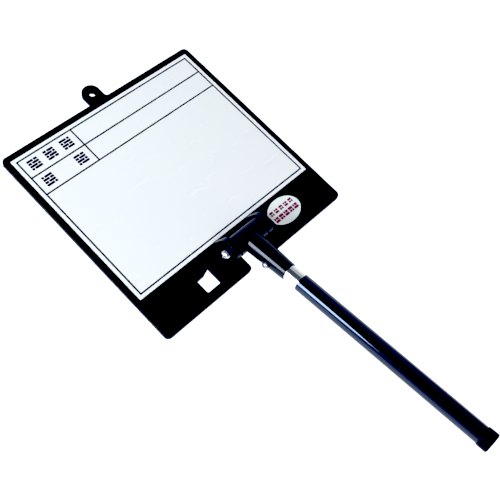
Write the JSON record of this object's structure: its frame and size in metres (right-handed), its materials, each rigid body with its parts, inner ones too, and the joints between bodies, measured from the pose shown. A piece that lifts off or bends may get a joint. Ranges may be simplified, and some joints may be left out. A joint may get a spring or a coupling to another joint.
{
  "type": "hand-held site whiteboard on a telescopic handle",
  "caption": "Small magnetic whiteboard with a ruled heading, held up in site photographs on a tilting, telescopic tube handle, with an ear to hang it by.",
  "frame": {"origin": "middle of the back plate's rear face, measured on the plate without its hanging ear", "axes": "+X to the board's right as it is read, +Y to its top (the handle runs to -Y), +Z out of its front"},
  "size_m": [0.23, 0.4921, 0.0746],
  "materials": {
    "plate_plastic": "black moulded sheet, satin with a faint blue sheen",
    "moulding": "black injection moulding, semi-gloss",
    "white_film": "glossy white write-and-wipe film with thin dark blue form lines",
    "sticker_film": "white vinyl with magenta print",
    "sheet_steel": "thin plated steel",
    "adhesive_tape": "double-sided tape",
    "chrome": "bright plated screws and washers",
    "nylon": "natural nylon",
    "aluminium": "bright drawn tube",
    "black_tube": "gloss black coat with a blue tinge over aluminium",
    "cap_rubber": "black soft plastic, satin"
  },
  "bodies": {
    "board": {"back_plate": "plate_plastic", "tape_strip_top": "adhesive_tape", "tape_strip_middle": "adhesive_tape", "tape_strip_bottom": "adhesive_tape", "steel_sheet": "sheet_steel", "writing_film": "white_film", "oval_sticker": "sticker_film", "hinge_bracket": "moulding", "bracket_screw_1": "chrome", "bracket_screw_2": "chrome", "bracket_screw_3": "chrome", "bracket_screw_4": "chrome", "hinge_bolt": "chrome", "flat_washer": "chrome", "spring_washer": "chrome", "hinge_nut": "chrome"},
    "head": {"tee_socket": "moulding", "pivot_sleeve": "sheet_steel", "friction_washer_left": "moulding", "friction_washer_right": "moulding", "socket_screw": "chrome", "tube_plug": "nylon", "inner_tube": "aluminium", "lock_spindle": "moulding"},
    "lock": {"lock_ring": "nylon"},
    "grip": {"outer_tube": "black_tube", "end_cap": "cap_rubber"}
  },
  "joints": [
    {"name": "board_tilt", "type": "hinge", "parent": "board", "child": "head", "pos_m": [0, -0.0913, 0.0215], "axis": [-1, 0, 0], "range_deg": [-43, 170]},
    {"name": "lock_twist", "type": "hinge", "parent": "head", "child": "lock", "pos_m": [0, -0.0913, 0.0215], "axis": [0, -0.9863, 0.1648], "range_deg": [0, 90]},
    {"name": "pole_slide", "type": "slide", "parent": "lock", "child": "grip", "axis": [0, -0.9863, 0.1648], "range_m": [0, 0.15]}
  ]
}
